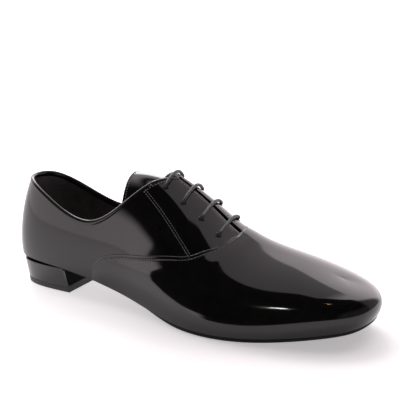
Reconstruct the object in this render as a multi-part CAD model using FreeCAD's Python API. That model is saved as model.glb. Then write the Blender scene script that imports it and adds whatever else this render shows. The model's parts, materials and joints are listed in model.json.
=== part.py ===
"""Right shoe of a pair of black patent-leather lace-up shoes (closed-lacing oxford).

Frame: millimetres, +Z up, +X from heel to toe, +Y to the wearer's left, which on a right shoe
is the inner (medial) side. Z = 0 is the floor; the origin is below the middle of the shoe.

The upper is one skin, described by stations from the heel's back (0) round the lateral side to
the toe's tip (14). Each station is a girth line: a quartic curve from the feather edge at the
sole (s = 0) to the ridge above the foot (s = 1). Cubic B-splines join the stations. A station
number below zero means the same station on the medial side. Every piece of the upper is an area
of that skin with a depth range: 0 is the outer face and depth grows towards the foot.
"""
import FreeCAD, Part
import os
from math import comb, cos, hypot, radians, sin

Vector = FreeCAD.Vector

# ---- driving dimensions -------------------------------------------------------------------
LENGTH_ORIGIN_X = 149.4      # from the heel's back to the frame origin
WIDTH_ORIGIN_Y = -8.6        # from the heel-to-toe line to the frame origin
UPPER = 1.1                  # patent leather of vamp and quarters
STIFFENER = (1.2, 1.75)      # counter, toe puff and facing stays lie at these depths
LINING = (1.8, 2.6)          # glove-leather lining
VAMP_STEP = 0.45             # the vamp's folded edge stands proud of the quarters
BINDING_WIDTH = 1.6          # rolled binding along the topline
BINDING_PROUD = 0.35         # the binding's roll stands off both faces by this
RIM_GAP = 0.35               # between the quarter's rim and the binding
BUTT = 0.05                  # between pieces that are glued face to face
SOLE_HEEL = 3.0              # outsole thickness under the heel seat
SOLE_TREAD = 3.35            # outsole thickness at the ball of the foot
SOLE_GROWS = (90.0, 170.0)   # from the heel's back, where the sole gains that thickness
SOLE_SET_BACK = 3.55         # the sole's edge inside the feather line at heel and waist
SOLE_STANDS_OUT = 0.5        # and outside it at the forepart
SOLE_SWELLS = (110.0, 170.0) # where it goes from one to the other
SOLE_TOP = -0.18             # top of the outsole below the feather line
INSOLE = (1.65, 3.45)        # layers above the feather line
FILLER = (0.0, 1.6)
SHANK = (0.0, 1.5)
SOCK = (3.5, 4.3)
PAD = (4.35, 6.35)
HEEL_RIM_Z = 20.5            # top of the covered heel
TOP_PIECE = 5.0              # thickness of the heel's rubber top piece
HEEL_FRONT_X = 55.7          # heel breast at the rim, from the heel's back
HEEL_FRONT_LEAN = 2.2        # the breast's foot stands forward by this
HEEL_INSET = 1.6             # the heel's rim inside the feather line
HEEL_TAPER = (2.2, 2.7)      # further inset at the floor: all round, and more at the sides
HEEL_END_T = 2.9             # stations between which the heel's outline follows the feather
HEEL_COVER = 1.5             # covering round the heel block
HEEL_TOP_Z = 27.0            # above any part of the sole over the heel
NAILS = [(20, 0), (30, -16), (30, 16), (45, -17), (45, 17)]
NAIL_R = 1.1
NAIL_LENGTH = 12.5
NAIL_DEEP = 11.0             # how far a nail reaches below the feather line
EYELET_BORE_R = 1.5
EYELET_BARREL_R = 1.9
EYELET_FLANGE_R = 2.5
EYELET_FLANGE = 0.35
LACE_R = 1.3
AGLET_R = 1.15
LACE_EASE = 2.05             # length over which the lace turns at an eyelet
LACE_OUT = -(LACE_R + 0.6)   # depth of the lace's centre where it crosses outside
LACE_IN = 4.0                # depth of the lace's centre where it runs inside
TONGUE_DEPTH = 5.9           # tongue under the facings
TONGUE_THICK = 1.2
TONGUE_LINING = 0.8
TONGUE_ROOT = 3.25           # depth of the tongue where it meets the vamp lining
TONGUE_DROP = (8.0, 8.33)    # stations over which it goes down from there

# Stations. Columns: ridge x, fan angle, half width at the feather (lateral, medial),
# feather height, side bulge, bulge height, shoulder half width (lateral, medial),
# shoulder height, ridge handle, ridge height, cross tilt of the ridge, fall at the toe.
STATIONS = [
    (36, 180, 34.0, 34.0, 25.0, 4.6, 50.0, 33.0, 33.0, 96.0, 14.0, 112.0, 0.00, 0.0),
    (36, 145, 36.0, 36.0, 24.8, 4.3, 50.0, 30.5, 30.5, 96.0, 13.0, 112.0, 0.00, 0.0),
    (38, 112, 34.5, 34.5, 24.0, 3.8, 50.0, 26.5, 26.5, 96.0, 12.0, 112.0, 0.00, 0.0),
    (62, 90, 34.5, 33.5, 21.5, 3.2, 48.0, 26.0, 26.0, 94.0, 12.0, 112.0, 0.00, 0.0),
    (88, 90, 35.0, 31.5, 17.0, 3.0, 44.0, 27.0, 25.0, 90.0, 12.0, 111.0, 0.03, 0.0),
    (114, 90, 38.0, 31.0, 12.0, 3.0, 40.0, 30.0, 25.0, 86.0, 12.5, 108.0, 0.08, 0.0),
    (140, 90, 47.0, 32.0, 7.5, 3.0, 34.0, 35.0, 24.5, 79.0, 14.0, 97.0, 0.15, 0.0),
    (166, 90, 57.0, 35.0, 4.0, 3.0, 28.0, 40.0, 25.0, 65.0, 18.0, 81.0, 0.22, 0.0),
    (190, 90, 61.5, 39.5, 3.5, 3.0, 22.0, 46.0, 30.0, 50.0, 21.0, 60.0, 0.28, 0.0),
    (214, 90, 59.0, 43.0, 3.6, 3.0, 18.5, 50.0, 37.0, 41.0, 23.5, 51.0, 0.22, 0.0),
    (238, 90, 52.0, 42.5, 5.2, 3.0, 16.5, 50.0, 41.5, 36.0, 25.0, 47.5, 0.15, 0.0),
    (256, 78, 43.0, 38.5, 9.0, 3.0, 17.0, 47.0, 43.0, 33.5, 27.0, 42.5, 0.08, 0.3),
    (266, 52, 35.0, 33.0, 12.0, 3.0, 18.5, 41.5, 40.0, 31.0, 25.0, 39.0, 0.03, 0.3),
    (268, 25, 28.5, 28.5, 14.5, 3.0, 20.0, 33.5, 33.5, 30.0, 22.0, 38.0, 0.00, 0.3),
    (268, 0, 27.0, 27.0, 15.0, 3.0, 20.5, 31.5, 31.5, 30.0, 21.0, 38.0, 0.00, 0.3),
]
TIP = len(STATIONS) - 1

# Lines on the skin as (station, s). They are laid out alike on both sides.
TOPLINE = [(0.0, 0.515), (0.8, 0.51), (1.6, 0.48), (2.2, 0.43), (2.7, 0.375), (3.1, 0.345),
           (3.65, 0.345), (4.15, 0.40), (4.55, 0.48), (4.85, 0.56), (5.16, 0.66),
           (5.42, 0.76), (5.77, 0.90), (5.95, 0.975)]
SEAM = [(3.83, 0.0), (3.87, 0.07), (4.14, 0.16), (4.57, 0.21), (5.2, 0.255), (5.91, 0.31),
        (6.6, 0.385), (7.16, 0.47), (7.51, 0.58), (7.77, 0.69), (7.91, 0.81), (7.99, 0.90),
        (8.05, 1.0)]
SEAM_RISE = 2                # index in SEAM where the wing's front rise ends
SEAM_STITCH = 7              # index in SEAM where the facing's stitching meets it
TOPLINE_LOW = 6              # index in TOPLINE of the lowest point at the side
TOPLINE_CORNER = 10          # index in TOPLINE where the facing begins
FACING_S = 0.975             # facing edge, just off the ridge
EYELETS = [(5.83, 0.77), (6.45, 0.76), (7.06, 0.77), (7.64, 0.78)]
TONGUE_SIDE = [(8.35, 0.74), (7.6, 0.67), (6.5, 0.62), (5.5, 0.575), (5.0, 0.56), (4.5, 0.555)]
TONGUE_TOP = [(4.5, 0.555), (4.47, 0.72), (4.54, 1.0)]
TONGUE_FREE = 6.0            # behind this station the tongue stands free of the facings
TONGUE_BACK = 25.0           # length of the free tongue for each station
TONGUE_RISE = (9.0, -3.5)    # its rise with the stations passed, linear and quadratic
TONGUE_TAPER = 0.05          # share of its width that the free tongue loses, quadratic
STAY_SIDE = [(7.0, 0.56), (5.5, 0.70)]
STAY_EDGE = [(7.85, 0.965), (6.03, 0.965)]
COUNTER_END_T = 3.1          # the counter reaches this station on both sides
COUNTER_TOP = (0.33, 0.013)  # its top at the back, and how fast it falls forward
PUFF_BACK_T = 10.6
STATION_MM = 25.0            # rough lengths of one station and of a whole girth line
GIRTH_MM = 85.0


# ---- the skin -----------------------------------------------------------------------------
def girth_rows(side):
    """Control rows of one half, drawn on the lateral side; side is 0 lateral, 1 medial."""
    rows = []
    for (gx, fan, w_l, w_m, zf, bulge, z1, y2_l, y2_m, z2, y3, gz, tilt, fall) in STATIONS:
        w = (w_l, w_m)[side]
        y2 = (y2_l, y2_m)[side]
        c = cos(radians(fan))
        sn = sin(radians(fan))
        lean = (-tilt, tilt)[side] * y3 - fall * y3 * c
        reach = [(w, zf), (w + bulge, z1), (y2, z2), (y3, gz + lean), (0.0, gz)]
        rows.append([Vector(gx + r * c, -r * sn, z) for r, z in reach])
    first = [Vector(p.x, -p.y, p.z) for p in rows[1]]
    last = [Vector(p.x, -p.y, p.z) for p in rows[-2]]
    return [first] + rows + [last]


ROWS = [girth_rows(0), girth_rows(1)]


def skin_frame(t, s):
    """Point and outward normal of the skin at station t and girth fraction s."""
    side = 1 if t < 0 else 0
    t = min(abs(t), TIP - 1e-9)
    i = int(t)
    f = t - i
    blend = [(1 - f) ** 3 / 6, (3 * f ** 3 - 6 * f ** 2 + 4) / 6,
             (-3 * f ** 3 + 3 * f ** 2 + 3 * f + 1) / 6, f ** 3 / 6]
    slope = [-(1 - f) ** 2 / 2, (3 * f ** 2 - 4 * f) / 2, (-3 * f ** 2 + 2 * f + 1) / 2, f ** 2 / 2]
    bern = [comb(4, k) * s ** k * (1 - s) ** (4 - k) for k in range(5)]
    low = [comb(3, k) * s ** k * (1 - s) ** (3 - k) for k in range(4)]
    line = [Vector(), Vector(), Vector(), Vector(), Vector()]
    drift = [Vector(), Vector(), Vector(), Vector(), Vector()]
    for k in range(5):
        for n in range(4):
            line[k] += ROWS[side][i + n][k] * blend[n]
            drift[k] += ROWS[side][i + n][k] * slope[n]
    point = Vector()
    along = Vector()
    up = Vector()
    for k in range(5):
        point += line[k] * bern[k]
        along += drift[k] * bern[k]
    for k in range(4):
        up += (line[k + 1] - line[k]) * (4 * low[k])
    normal = along.cross(up)
    if along.Length < 0.4:
        normal = skin_frame((-t if side else t), s - 0.03)[1]
        normal = Vector(normal.x, -normal.y if side else normal.y, normal.z)
    normal.normalize()
    if side:
        point.y = -point.y
        normal.y = -normal.y
    return point, normal


def skin(t, s, depth=0.0):
    """Point at a depth below the skin; both halves agree on the ridge."""
    point, normal = skin_frame(t, s)
    if s > 1 - 1e-9:
        normal = normal + skin_frame(-t, s)[1]
        normal.normalize()
    return point - normal * depth


# ---- lines on the skin ----------------------------------------------------------------------
class Line:
    """Natural cubic spline through (station, s) points, measured along in millimetres."""

    def __init__(self, points):
        self.points = [tuple(p) for p in points]
        self.knots = [0.0]
        for (t0, s0), (t1, s1) in zip(points, points[1:]):
            self.knots.append(self.knots[-1] + hypot((t1 - t0) * STATION_MM, (s1 - s0) * GIRTH_MM))
        self.bend = [self.second_derivatives(axis) for axis in (0, 1)]

    def second_derivatives(self, axis):
        n = len(self.points)
        h = [self.knots[i + 1] - self.knots[i] for i in range(n - 1)]
        y = [p[axis] for p in self.points]
        diag = [1.0] * n
        rhs = [0.0] * n
        upper = [0.0] * n
        for i in range(1, n - 1):
            diag[i] = 2 * (h[i - 1] + h[i]) - h[i - 1] * upper[i - 1]
            upper[i] = h[i] / diag[i]
            step = 6 * ((y[i + 1] - y[i]) / h[i] - (y[i] - y[i - 1]) / h[i - 1])
            rhs[i] = (step - h[i - 1] * rhs[i - 1]) / diag[i]
        out = [0.0] * n
        for i in range(n - 2, 0, -1):
            out[i] = rhs[i] - upper[i] * out[i + 1]
        return out

    def at(self, length):
        i = 0
        while i < len(self.knots) - 2 and length > self.knots[i + 1]:
            i += 1
        h = self.knots[i + 1] - self.knots[i]
        b = (length - self.knots[i]) / h
        a = 1 - b
        out = []
        for axis in (0, 1):
            m = self.bend[axis]
            value = a * self.points[i][axis] + b * self.points[i + 1][axis]
            value += ((a ** 3 - a) * m[i] + (b ** 3 - b) * m[i + 1]) * h * h / 6
            out.append(value)
        return tuple(out)

    def stretch(self, i, j, inset=0.0):
        """Map 0..1 to the stretch from point i to point j, moved sideways to its right."""
        def where(u):
            length = self.knots[i] + (self.knots[j] - self.knots[i]) * u
            t, s = self.at(length)
            if not inset:
                return t, s
            t0, s0 = self.at(max(length - 0.5, 0.0))
            t1, s1 = self.at(min(length + 0.5, self.knots[-1]))
            dt = (t1 - t0) * STATION_MM
            ds = (s1 - s0) * GIRTH_MM
            if abs(t) < 1e-9:
                ds = 0.0
            size = hypot(dt, ds)
            return t + inset * ds / size / STATION_MM, s - inset * dt / size / GIRTH_MM
        return where


def straight(a, b):
    return lambda u: (a[0] + (b[0] - a[0]) * u, a[1] + (b[1] - a[1]) * u)


def area(bottom, top, left=None, right=None):
    """Area of the skin between two long lines, with straight or given ends."""
    left = left or straight(bottom(0), top(0))
    right = right or straight(bottom(1), top(1))

    def where(u, v):
        out = []
        for k in (0, 1):
            long_lines = (1 - v) * bottom(u)[k] + v * top(u)[k]
            short_lines = (1 - u) * left(v)[k] + u * right(v)[k]
            corners = ((1 - u) * ((1 - v) * bottom(0)[k] + v * top(0)[k])
                       + u * ((1 - v) * bottom(1)[k] + v * top(1)[k]))
            out.append(long_lines + short_lines - corners)
        return tuple(out)
    return where


# ---- solids from areas ----------------------------------------------------------------------
def spline_row(points):
    curve = Part.BSplineCurve()
    curve.interpolate(Points=points, Parameters=[float(i) for i in range(len(points))])
    return curve


def grid_face(grid):
    """Spline face through a grid of points; a grid two points wide gives a ruled face."""
    rows = [spline_row(line) for line in grid]
    poles = [row.getPoles() for row in rows]
    columns = [spline_row(list(line)) for line in zip(*poles)]
    net = [list(line) for line in zip(*[column.getPoles() for column in columns])]
    surface = Part.BSplineSurface()
    surface.buildFromPolesMultsKnots(net, columns[0].getMultiplicities(), rows[0].getMultiplicities(),
                                     columns[0].getKnots(), rows[0].getKnots(), False, False,
                                     columns[0].Degree, rows[0].Degree)
    return surface.toShape()


def close(faces):
    """Sew faces to one closed solid."""
    shell = Part.makeShell(faces)
    shell.sewShape()
    solid = Part.makeSolid(shell.Shells[0] if shell.ShapeType != "Shell" else shell)
    if solid.Volume < 0:
        solid.reverse()
    return solid


def sheet(patches, outer, inner, place=skin):
    """Solid between two depths. Each patch is (area, steps along, steps up, free edges)."""
    faces = []
    for where, nu, nv, free in patches:
        nodes = [[where(i / nu, j / nv) for j in range(nv + 1)] for i in range(nu + 1)]
        outside = [[place(t, s, outer) for t, s in line] for line in nodes]
        inside = [[place(t, s, inner) for t, s in line] for line in nodes]
        faces.append(grid_face(outside))
        faces.append(grid_face(inside))
        edges = {"l": 0, "r": nu, "b": 0, "t": nv}
        for name in free:
            k = edges[name]
            if name in "lr":
                pair = [outside[k], inside[k]]
            else:
                pair = [[line[k] for line in outside], [line[k] for line in inside]]
            faces.append(grid_face([list(two) for two in zip(*pair)]))
    return close(faces)


def flip(where):
    """The same area on the medial side."""
    return lambda u, v: (-where(u, v)[0], where(u, v)[1])


# ---- areas of the upper -----------------------------------------------------------------------
topline = Line(TOPLINE)
seam = Line(SEAM)
tongue_side = Line(TONGUE_SIDE)
tongue_top = Line(TONGUE_TOP)


def quarter_patches(side, gap_mm, rim_mm, foot_s, back_t):
    """Quarter: heel part, waist part and facing part."""
    seam_wing = seam.stretch(0, SEAM_STITCH, -gap_mm)
    seam_throat = seam.stretch(SEAM_STITCH, len(SEAM) - 2, -gap_mm)
    top_back = topline.stretch(0, TOPLINE_LOW, rim_mm)
    top_side = topline.stretch(TOPLINE_LOW, TOPLINE_CORNER, rim_mm)
    top_facing = topline.stretch(TOPLINE_CORNER, len(TOPLINE) - 1, rim_mm)
    wing_foot = (seam_wing(0)[0], foot_s)

    def wing(u):
        t, s = seam_wing(u)
        return t, max(s, foot_s) if u > 0 else foot_s

    def throat(u):
        t, s = seam_throat(u)
        end = FACING_S - seam_throat(1)[1]
        return t, s + end * u * u

    def facing_top(u):
        t, s = top_facing(u)
        end = FACING_S - top_facing(1)[1]
        return t, s + end * u * u

    def top_heel(u):
        t, s = top_back(u)
        return t + back_t * (1 - u), s

    heel = area(straight((back_t, foot_s), wing_foot), top_heel)
    waist = area(wing, top_side)
    front = area(throat, facing_top)
    patches = [(heel, 24, 12, "lbt"), (waist, 30, 12, "bt"), (front, 16, 12, "btr")]
    if side:
        patches = [(flip(where), nu, nv, free) for where, nu, nv, free in patches]
    return patches


def vamp_patches(gap_mm, foot_s):
    """Vamp: wing and forepart on each side, joined along the ridge and at the toe's tip."""
    rise = seam.stretch(0, SEAM_RISE, gap_mm)
    top = seam.stretch(SEAM_RISE, len(SEAM) - 1, gap_mm)
    last = top(1)[0]

    def wing_front(u):
        t, s = rise(u)
        return t, foot_s * (1 - u) + s

    def wing_top(u):
        t, s = top(u)
        return t, s + (1 - top(1)[1]) * u ** 4

    wing = area(straight((wing_front(0)[0], foot_s), (last, foot_s)), wing_top,
                wing_front, straight((last, foot_s), (last, 1.0)))
    fore = area(straight((last, foot_s), (TIP, foot_s)), straight((last, 1.0), (TIP, 1.0)))
    half = [(wing, 32, 14, "lbt"), (fore, 30, 14, "b")]
    return half + [(flip(where), nu, nv, free) for where, nu, nv, free in half]


# ---- soles, from plan outlines and side profiles -------------------------------------------
def feather(t):
    return skin(t, 0.0)


def feather_out(t):
    """Outward direction of the feather line in plan."""
    a = feather(min(t + 0.02, TIP)) if t >= 0 else feather(max(t - 0.02, -TIP))
    b = feather(max(t - 0.02, 0.0)) if t >= 0 else feather(min(t + 0.02, -1e-6))
    step = a - b
    out = Vector(step.y, -step.x, 0) if t >= 0 else Vector(-step.y, step.x, 0)
    if abs(t) < 0.03:
        out = Vector(-1, 0, 0)
    if abs(t) > TIP - 0.03:
        out = Vector(1, 0, 0)
    out.normalize()
    return out


def eased(x, start, stop):
    """Smooth step from 0 at start to 1 at stop."""
    f = min(max((x - start) / (stop - start), 0.0), 1.0)
    return f * f * (3 - 2 * f)


def sole_margin(x):
    """The outsole stands back at the heel and waist and shows past the upper at the forepart."""
    return -SOLE_SET_BACK + (SOLE_SET_BACK + SOLE_STANDS_OUT) * eased(x, *SOLE_SWELLS)


def plan_points(margin):
    stops = [0.5 * i for i in range(2 * TIP + 1)]
    around = stops + [-t for t in reversed(stops[1:-1])]
    out = []
    for t in around:
        p = feather(t)
        m = margin(p.x) if callable(margin) else margin
        q = p + feather_out(t) * m
        out.append(Vector(q.x, q.y, 0))
    return out


def plan_prism(margin, x_low=-50.0, x_high=400.0):
    """Vertical prism over the feather outline moved out by a margin, kept between two x."""
    curve = Part.BSplineCurve()
    curve.interpolate(Points=plan_points(margin), PeriodicFlag=True)
    prism = Part.Face(Part.Wire(curve.toShape())).extrude(Vector(0, 0, 150))
    prism.translate(Vector(0, 0, -20))
    box = Part.makeBox(x_high - x_low, 300, 200, Vector(x_low, -150, -30))
    return prism.common(box)


def feather_height(x):
    """Height of the feather line at x."""
    lo, hi = 0.0, float(TIP)
    if x <= feather(0).x:
        return feather(0).z
    if x >= feather(TIP).x:
        return feather(TIP).z + 0.12 * (x - feather(TIP).x)
    for _ in range(40):
        mid = (lo + hi) / 2
        if feather(mid).x < x:
            lo = mid
        else:
            hi = mid
    return feather(lo).z


def sole_thickness(x):
    return SOLE_HEEL + (SOLE_TREAD - SOLE_HEEL) * eased(x, *SOLE_GROWS)


def side_slab(low, high, x0=-12.0, x1=312.0):
    """Slab across the shoe between two heights above the feather line."""
    count = 27
    xs = [x0 + (x1 - x0) * i / count for i in range(count + 1)]
    bottom = Part.BSplineCurve()
    bottom.interpolate([Vector(x, -100, feather_height(x) + low(x)) for x in xs])
    top = Part.BSplineCurve()
    top.interpolate([Vector(x, -100, feather_height(x) + high(x)) for x in xs])
    b = bottom.toShape()
    t = top.toShape()
    ends = [Part.makeLine(b.Vertexes[k].Point, t.Vertexes[k].Point) for k in (0, -1)]
    return Part.Face(Part.Wire([b, ends[1], t, ends[0]])).extrude(Vector(0, 200, 0))


def layer(margin, low, high, x_low=-50.0, x_high=400.0):
    slab = side_slab(lambda x: low, lambda x: high)
    return plan_prism(margin, x_low, x_high).common(slab)


# ---- heel -----------------------------------------------------------------------------------
def heel_wire(z, cover, overrun):
    """D-shaped plan of the heel at a height: cover is the inset, overrun extends the front."""
    drop = (HEEL_RIM_Z - z) / HEEL_RIM_Z
    front = HEEL_FRONT_X + HEEL_FRONT_LEAN * drop
    stops = [HEEL_END_T * (i / 12 - 1) for i in range(25)]
    points = []
    for t in stops:
        p = feather(t)
        n = feather_out(t)
        q = p - n * (HEEL_INSET + cover + drop * (HEEL_TAPER[0] + HEEL_TAPER[1] * abs(n.y)))
        points.append(Vector(q.x, q.y, z))
    points[0].x = points[-1].x = front + overrun
    curve = Part.BSplineCurve()
    curve.interpolate(points)
    return Part.Wire([curve.toShape(), Part.makeLine(points[-1], points[0])])


def heel_body(z_low, z_high, cover=0.0, overrun=0.0):
    return Part.makeLoft([heel_wire(z_low, cover, overrun), heel_wire(z_high, cover, overrun)], True, True)


def level_box(z_low, z_high):
    return Part.makeBox(200, 200, z_high - z_low, Vector(-50, -100, z_low))


def nail_bodies(radius):
    feet = [Vector(x, y, feather_height(x) - NAIL_DEEP) for x, y in NAILS]
    return Part.makeCompound([Part.makeCylinder(radius, NAIL_LENGTH, foot) for foot in feet])


# ---- eyelets and lace -------------------------------------------------------------------------
def eyelet_cylinder(t, s, radius, top, bottom):
    """Cylinder square to the skin between two depths."""
    point, normal = skin_frame(t, s)
    return Part.makeCylinder(radius, bottom - top, point - normal * top, normal * -1)


def eyelet_holes(sign):
    radius = EYELET_BARREL_R + BUTT
    return Part.makeCompound([eyelet_cylinder(sign * t, s, radius, -2.0, 4.0) for t, s in EYELETS])


def eyelet(t, s):
    flange = eyelet_cylinder(t, s, EYELET_FLANGE_R, -EYELET_FLANGE - BUTT, -BUTT)
    barrel = eyelet_cylinder(t, s, EYELET_BARREL_R, -EYELET_FLANGE - BUTT, LINING[1])
    bore = eyelet_cylinder(t, s, EYELET_BORE_R, -2.0, 4.0)
    return flange.fuse(barrel).cut(bore).removeSplitter()


def rounded(corners, radius):
    """Points of a line through the corners, each inner corner eased over a given length."""
    out = [corners[0]]
    for before, at, after in zip(corners, corners[1:], corners[2:]):
        a = before - at
        b = after - at
        turn = a.getAngle(b)
        if turn > 2.6:
            out.append(at)
            continue
        a = a * (min(radius, a.Length * 0.48) / a.Length)
        b = b * (min(radius, b.Length * 0.48) / b.Length)
        for k in range(7):
            u = k / 6
            out.append(at + a * (1 - u) ** 2 + b * u ** 2)
    return out + [corners[-1]]


def lace_route():
    """Straight bars outside, runs between the facings and the tongue inside."""
    top, second, third, bottom = EYELETS
    aside = (second[0], second[1] - 0.038)

    def run(points, sign):
        return [(sign * t, s, LACE_IN) for t, s in points]

    def bar(eyelet, sign):
        t, s = eyelet
        steps = [s + (1 - s) * k for k in (0.0, 0.16, 0.32, 0.48, 0.64, 0.82, 1.0)]
        there = [(sign * t, k, LACE_OUT) for k in steps]
        back = [(-sign * t, k, LACE_OUT) for k in reversed(steps[:-1])]
        return there + back

    stops = run([(7.05, 0.69), (6.6, 0.69), (6.15, 0.70), (5.95, 0.73), top], 1) + bar(top, 1)
    stops += run([top, (6.1, 0.735), aside, (6.75, 0.74), third], -1) + bar(third, -1)
    stops += run([third, bottom], 1) + bar(bottom, 1)
    stops += run([bottom, (7.35, 0.815), (7.06, 0.82), (6.75, 0.80), second], -1) + bar(second, -1)
    stops += run([second, (6.75, 0.737), (7.05, 0.732), (7.3, 0.73)], 1)
    return [skin(t, s, depth) for t, s, depth in stops]


def cord(points, radius, step=0.8):
    """Round cord along a smooth line, as two half tubes and two flat ends."""
    curve = Part.BSplineCurve()
    curve.interpolate(points)
    length = curve.length()
    count = int(length / step)
    stops = [curve.parameterAtDistance(length * i / count, curve.FirstParameter)
             for i in range(count)] + [curve.LastParameter]
    across = curve.tangent(stops[0])[0].cross(Vector(0, 0, 1))
    rings = []
    for stop in stops:
        heading = Vector(curve.tangent(stop)[0])
        across = across - heading * across.dot(heading)
        across.normalize()
        up = heading.cross(across)
        turns = [radians(22.5 * k) for k in range(17)]
        rings.append([curve.value(stop) + across * (radius * cos(a)) + up * (radius * sin(a))
                      for a in turns[:-1]])
        rings[-1].append(rings[-1][0])
    faces = [grid_face([ring[:9] for ring in rings]), grid_face([ring[8:] for ring in rings])]
    for ring in (rings[0], rings[-1]):
        halves = [spline_row(ring[:9]).toShape(), spline_row(ring[8:]).toShape()]
        faces.append(Part.Face(Part.Wire(halves)))
    return close(faces)


def aglet(line):
    """Stiff tip that carries on from an end of the lace."""
    return cord([skin(t, s, LACE_IN) for t, s in line], AGLET_R)


# ---- tongue -----------------------------------------------------------------------------------
def tongue_skin(t, s, extra):
    """The tongue hangs from the vamp lining, clears the lace and stands free past the facings."""
    front = eased(abs(t), *TONGUE_DROP)
    depth = TONGUE_DEPTH - (TONGUE_DEPTH - TONGUE_ROOT) * front + extra
    passed = TONGUE_FREE - abs(t)
    if passed <= 0:
        return skin(t, s, depth)
    root = skin(-TONGUE_FREE if t < 0 else TONGUE_FREE, s, depth)
    rise = TONGUE_RISE[0] * passed + TONGUE_RISE[1] * passed * passed
    return root + Vector(-TONGUE_BACK * passed, -TONGUE_TAPER * passed * passed * root.y, rise)


def tongue_patches(side_mm):
    end = len(TONGUE_SIDE) - 1
    side = tongue_side.stretch(0, end, side_mm)
    top = tongue_top.stretch(0, len(TONGUE_TOP) - 1, side_mm)

    def top_line(u):
        t, s = top(u)
        st, ss = side(1)
        shift = (1 - u) ** 4
        return t + (st - top(0)[0]) * shift, s + (ss - top(0)[1]) * shift + (1 - top(1)[1]) * u ** 4

    ridge = straight((side(0)[0], 1.0), (top_line(1)[0], 1.0))
    half = [(area(side, ridge, straight(side(0), (side(0)[0], 1.0)), top_line), 26, 10, "blr")]
    return half + [(flip(where), nu, nv, free) for where, nu, nv, free in half]


# ---- build ------------------------------------------------------------------------------------
def build():
    parts = {}
    holes = {1: eyelet_holes(1), -1: eyelet_holes(-1)}
    parts["vamp"] = sheet(vamp_patches(0.0, 0.0), -VAMP_STEP, UPPER)
    parts["vamp_lining"] = sheet(vamp_patches(1.0, 0.01), *LINING)
    rim_mm = BINDING_WIDTH + RIM_GAP
    for side, name in ((0, "lateral"), (1, "medial")):
        sign = -1 if side else 1
        quarter = sheet(quarter_patches(side, 0.15, rim_mm, 0.0, 0.004), 0.0, UPPER)
        parts["quarter_" + name] = quarter.cut(holes[sign])
        lining = sheet(quarter_patches(side, -0.8, rim_mm, 0.01, 0.004), *LINING)
        parts["quarter_lining_" + name] = lining.cut(holes[sign])
        stay = area(straight(*STAY_SIDE), straight(*STAY_EDGE))
        stay = flip(stay) if side else stay
        parts["facing_stay_" + name] = sheet([(stay, 16, 8, "lrbt")], *STIFFENER).cut(holes[sign])
        for number, (t, s) in enumerate(EYELETS, 1):
            parts["eyelet_%s_%d" % (name, number)] = eyelet(sign * t, s)

    rim = topline.stretch(0, len(TOPLINE) - 1)
    rim_low = topline.stretch(0, len(TOPLINE) - 1, BINDING_WIDTH - BUTT)
    binding = area(rim_low, rim)
    binding_patches = [(binding, 60, 4, "btr"), (flip(binding), 60, 4, "btr")]
    parts["topline_binding"] = sheet(binding_patches, -BINDING_PROUD, LINING[1] + BINDING_PROUD)

    def counter_top(u):
        t = COUNTER_END_T * (2 * u - 1)
        return t, COUNTER_TOP[0] - COUNTER_TOP[1] * t * t

    counter = area(straight((-COUNTER_END_T, 0.02), (COUNTER_END_T, 0.02)), counter_top)
    parts["heel_counter"] = sheet([(counter, 36, 10, "lrbt")], *STIFFENER)
    puff = area(straight((PUFF_BACK_T, 0.02), (TIP, 0.02)), straight((PUFF_BACK_T, 1.0), (TIP, 1.0)))
    parts["toe_puff"] = sheet([(puff, 18, 14, "bl"), (flip(puff), 18, 14, "bl")], *STIFFENER)

    parts["tongue"] = sheet(tongue_patches(0.0), 0.0, TONGUE_THICK, tongue_skin)
    back = TONGUE_THICK + BUTT
    parts["tongue_lining"] = sheet(tongue_patches(1.5), back, back + TONGUE_LINING, tongue_skin)

    sole = side_slab(lambda x: SOLE_TOP - sole_thickness(x), lambda x: SOLE_TOP)
    nail_holes = nail_bodies(NAIL_R + BUTT)
    parts["outsole"] = plan_prism(sole_margin).common(sole).cut(nail_holes)
    parts["insole_board"] = layer(-3.2, *INSOLE)
    parts["forepart_filler"] = layer(-5.0, *FILLER, 165.0, 280.0)
    shank = layer(-5.0, *SHANK, 62.0, 160.0)
    parts["shank"] = shank.common(Part.makeBox(98, 14, 60, Vector(62, -9, -10)))
    parts["sock_lining"] = layer(-3.2, *SOCK)
    parts["heel_pad"] = layer(-6.5, *PAD, 0.0, 72.0)

    outer = heel_body(0.0, HEEL_TOP_Z)
    core = heel_body(0.0, HEEL_TOP_Z, HEEL_COVER, 12.0)
    parts["heel_top_piece"] = outer.common(level_box(0.0, TOP_PIECE))
    parts["heel_cover"] = outer.common(level_box(TOP_PIECE + BUTT, HEEL_RIM_Z)).cut(core)
    under = side_slab(lambda x: -40.0, lambda x: SOLE_TOP - BUTT - sole_thickness(x))
    block = heel_body(0.0, HEEL_TOP_Z, HEEL_COVER + BUTT, 12.0).common(outer)
    block = block.common(level_box(TOP_PIECE + BUTT, HEEL_TOP_Z))
    parts["heel_block"] = block.common(under).cut(nail_holes)
    parts["heel_nails"] = nail_bodies(NAIL_R)

    parts["lace"] = cord(rounded(lace_route(), LACE_EASE), LACE_R)
    parts["aglet_1"] = aglet([(7.06, 0.69), (7.4, 0.693), (7.72, 0.70)])
    parts["aglet_2"] = aglet([(7.31, 0.73), (7.6, 0.728), (7.92, 0.73)])
    return parts


if __name__ in ("__main__", "part"):
    os.makedirs("parts", exist_ok=True)
    for node, shape in build().items():
        shape.translate(Vector(-LENGTH_ORIGIN_X, -WIDTH_ORIGIN_Y, 0))
        if shape.ShapeType == "Compound" and len(shape.Solids) == 1:
            shape = shape.Solids[0]
        shape.exportStep("parts/" + node + ".step")
        box = shape.BoundBox
        print(node, shape.ShapeType, len(shape.Solids), shape.isValid(), round(shape.Volume),
              [round(v, 1) for v in (box.XMin, box.XMax, box.YMin, box.YMax, box.ZMin, box.ZMax)])
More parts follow.
